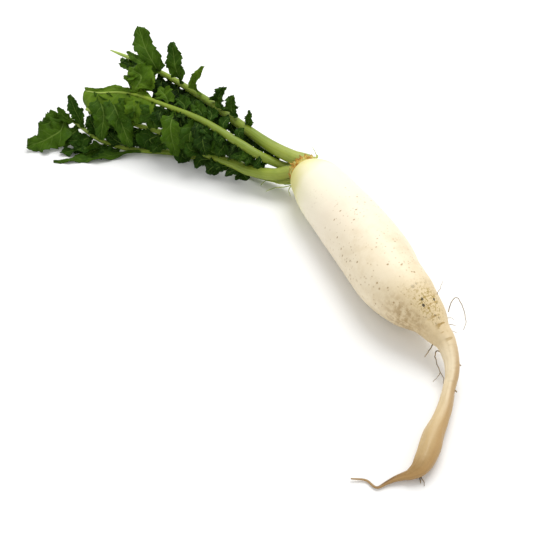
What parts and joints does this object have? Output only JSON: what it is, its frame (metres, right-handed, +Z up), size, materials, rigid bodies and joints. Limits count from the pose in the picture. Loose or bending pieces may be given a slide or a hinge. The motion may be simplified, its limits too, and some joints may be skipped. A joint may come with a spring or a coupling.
{
  "type": "daikon radish",
  "caption": "Long white radish lying on its side, with a bent tapering tail, a brown crown collar and lobed green leaves on juicy stalks.",
  "frame": {"origin": "on the surface that the radish lies on, under the middle of its footprint", "axes": "+X along the root from its crown towards its tail, +Z up"},
  "size_m": [0.6206, 0.2962, 0.122],
  "materials": {
    "root_skin": "satin",
    "crown_scar": "matte",
    "stalk": "satin",
    "blade": "matte",
    "rootlet": "matte"
  },
  "bodies": {
    "root": {"root": "root_skin", "crown": "crown_scar", "back_stalk": "stalk", "back_lobe_1": "blade", "back_lobe_2": "blade", "back_lobe_3": "blade", "back_lobe_4": "blade", "back_lobe_5": "blade", "back_lobe_6": "blade", "back_lobe_7": "blade", "back_lobe_8": "blade", "back_lobe_9": "blade", "back_lobe_10": "blade", "back_lobe_11": "blade", "back_lobe_12": "blade", "back_lobe_13": "blade", "back_lobe_14": "blade", "upper_stalk": "stalk", "upper_lobe_1": "blade", "upper_lobe_2": "blade", "upper_lobe_3": "blade", "upper_lobe_4": "blade", "upper_lobe_5": "blade", "upper_lobe_6": "blade", "upper_lobe_7": "blade", "upper_lobe_8": "blade", "upper_lobe_9": "blade", "upper_lobe_10": "blade", "upper_lobe_11": "blade", "front_stalk": "stalk", "front_lobe_1": "blade", "front_lobe_2": "blade", "front_lobe_3": "blade", "front_lobe_4": "blade", "front_lobe_5": "blade", "front_lobe_6": "blade", "front_lobe_7": "blade", "front_lobe_8": "blade", "front_lobe_9": "blade", "lower_stalk": "stalk", "lower_lobe_1": "blade", "lower_lobe_2": "blade", "lower_lobe_3": "blade", "lower_lobe_4": "blade", "lower_lobe_5": "blade", "lower_lobe_6": "blade", "lower_lobe_7": "blade", "lower_lobe_8": "blade", "rootlet_1": "rootlet", "rootlet_2": "rootlet", "rootlet_3": "rootlet"}
  },
  "joints": []
}
